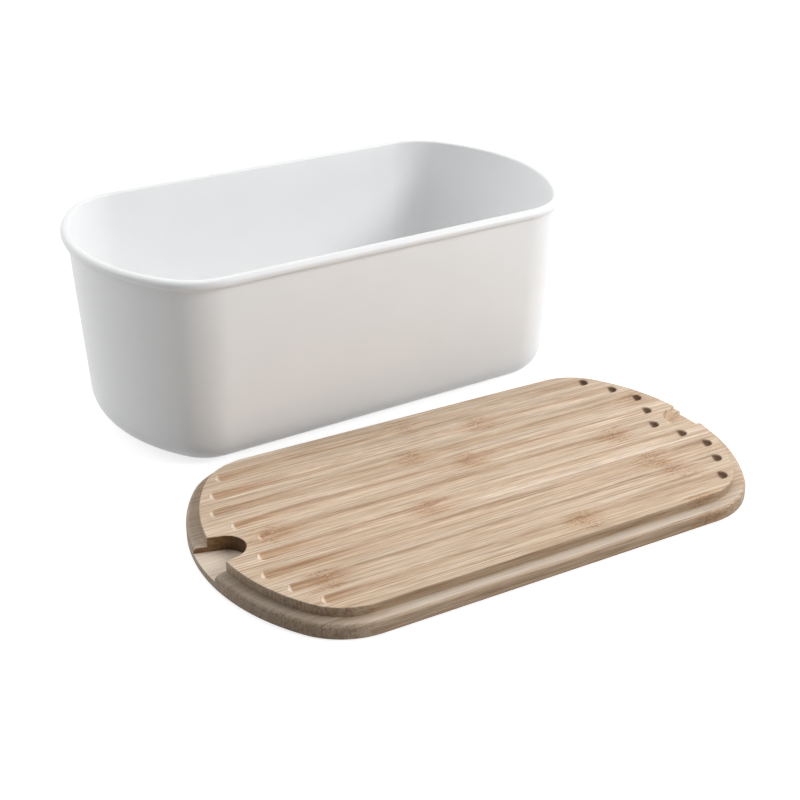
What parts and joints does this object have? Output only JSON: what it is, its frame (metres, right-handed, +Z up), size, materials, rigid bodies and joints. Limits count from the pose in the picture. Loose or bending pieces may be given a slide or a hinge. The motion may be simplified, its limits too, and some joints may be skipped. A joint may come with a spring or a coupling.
{
  "type": "bread box",
  "caption": "Deep white oblong tub with a rounded rim, its bamboo lid lying beside it turned over as a grooved cutting board.",
  "frame": {"origin": "middle of the tub's underside, which stands on z = 0", "axes": "+X along the tub to the right of somebody in front of it, +Y to the back, away from the lid, +Z up; the lid lies on z = 0 in front of the tub"},
  "size_m": [0.3578, 0.3957, 0.132],
  "materials": {
    "tub": "satin",
    "lid_stave_01": "oiled bamboo, satin",
    "lid_stave_02": "oiled bamboo, satin",
    "lid_stave_03": "oiled bamboo, satin",
    "lid_stave_04": "oiled bamboo, satin",
    "lid_stave_05": "oiled bamboo, satin",
    "lid_stave_06": "oiled bamboo, satin",
    "lid_stave_07": "oiled bamboo, satin",
    "lid_stave_08": "oiled bamboo, satin",
    "lid_stave_09": "oiled bamboo, satin",
    "lid_stave_10": "oiled bamboo, satin",
    "lid_stave_11": "oiled bamboo, satin"
  },
  "bodies": {
    "tub": {"tub": "tub"},
    "lid": {"lid_stave_01": "lid_stave_01", "lid_stave_02": "lid_stave_02", "lid_stave_03": "lid_stave_03", "lid_stave_04": "lid_stave_04", "lid_stave_05": "lid_stave_05", "lid_stave_06": "lid_stave_06", "lid_stave_07": "lid_stave_07", "lid_stave_08": "lid_stave_08", "lid_stave_09": "lid_stave_09", "lid_stave_10": "lid_stave_10", "lid_stave_11": "lid_stave_11"}
  },
  "joints": [
    {"name": "lid_lift", "type": "slide", "parent": "tub", "child": "lid", "axis": [0, 0, 1], "range_m": [0, 0.15]}
  ]
}
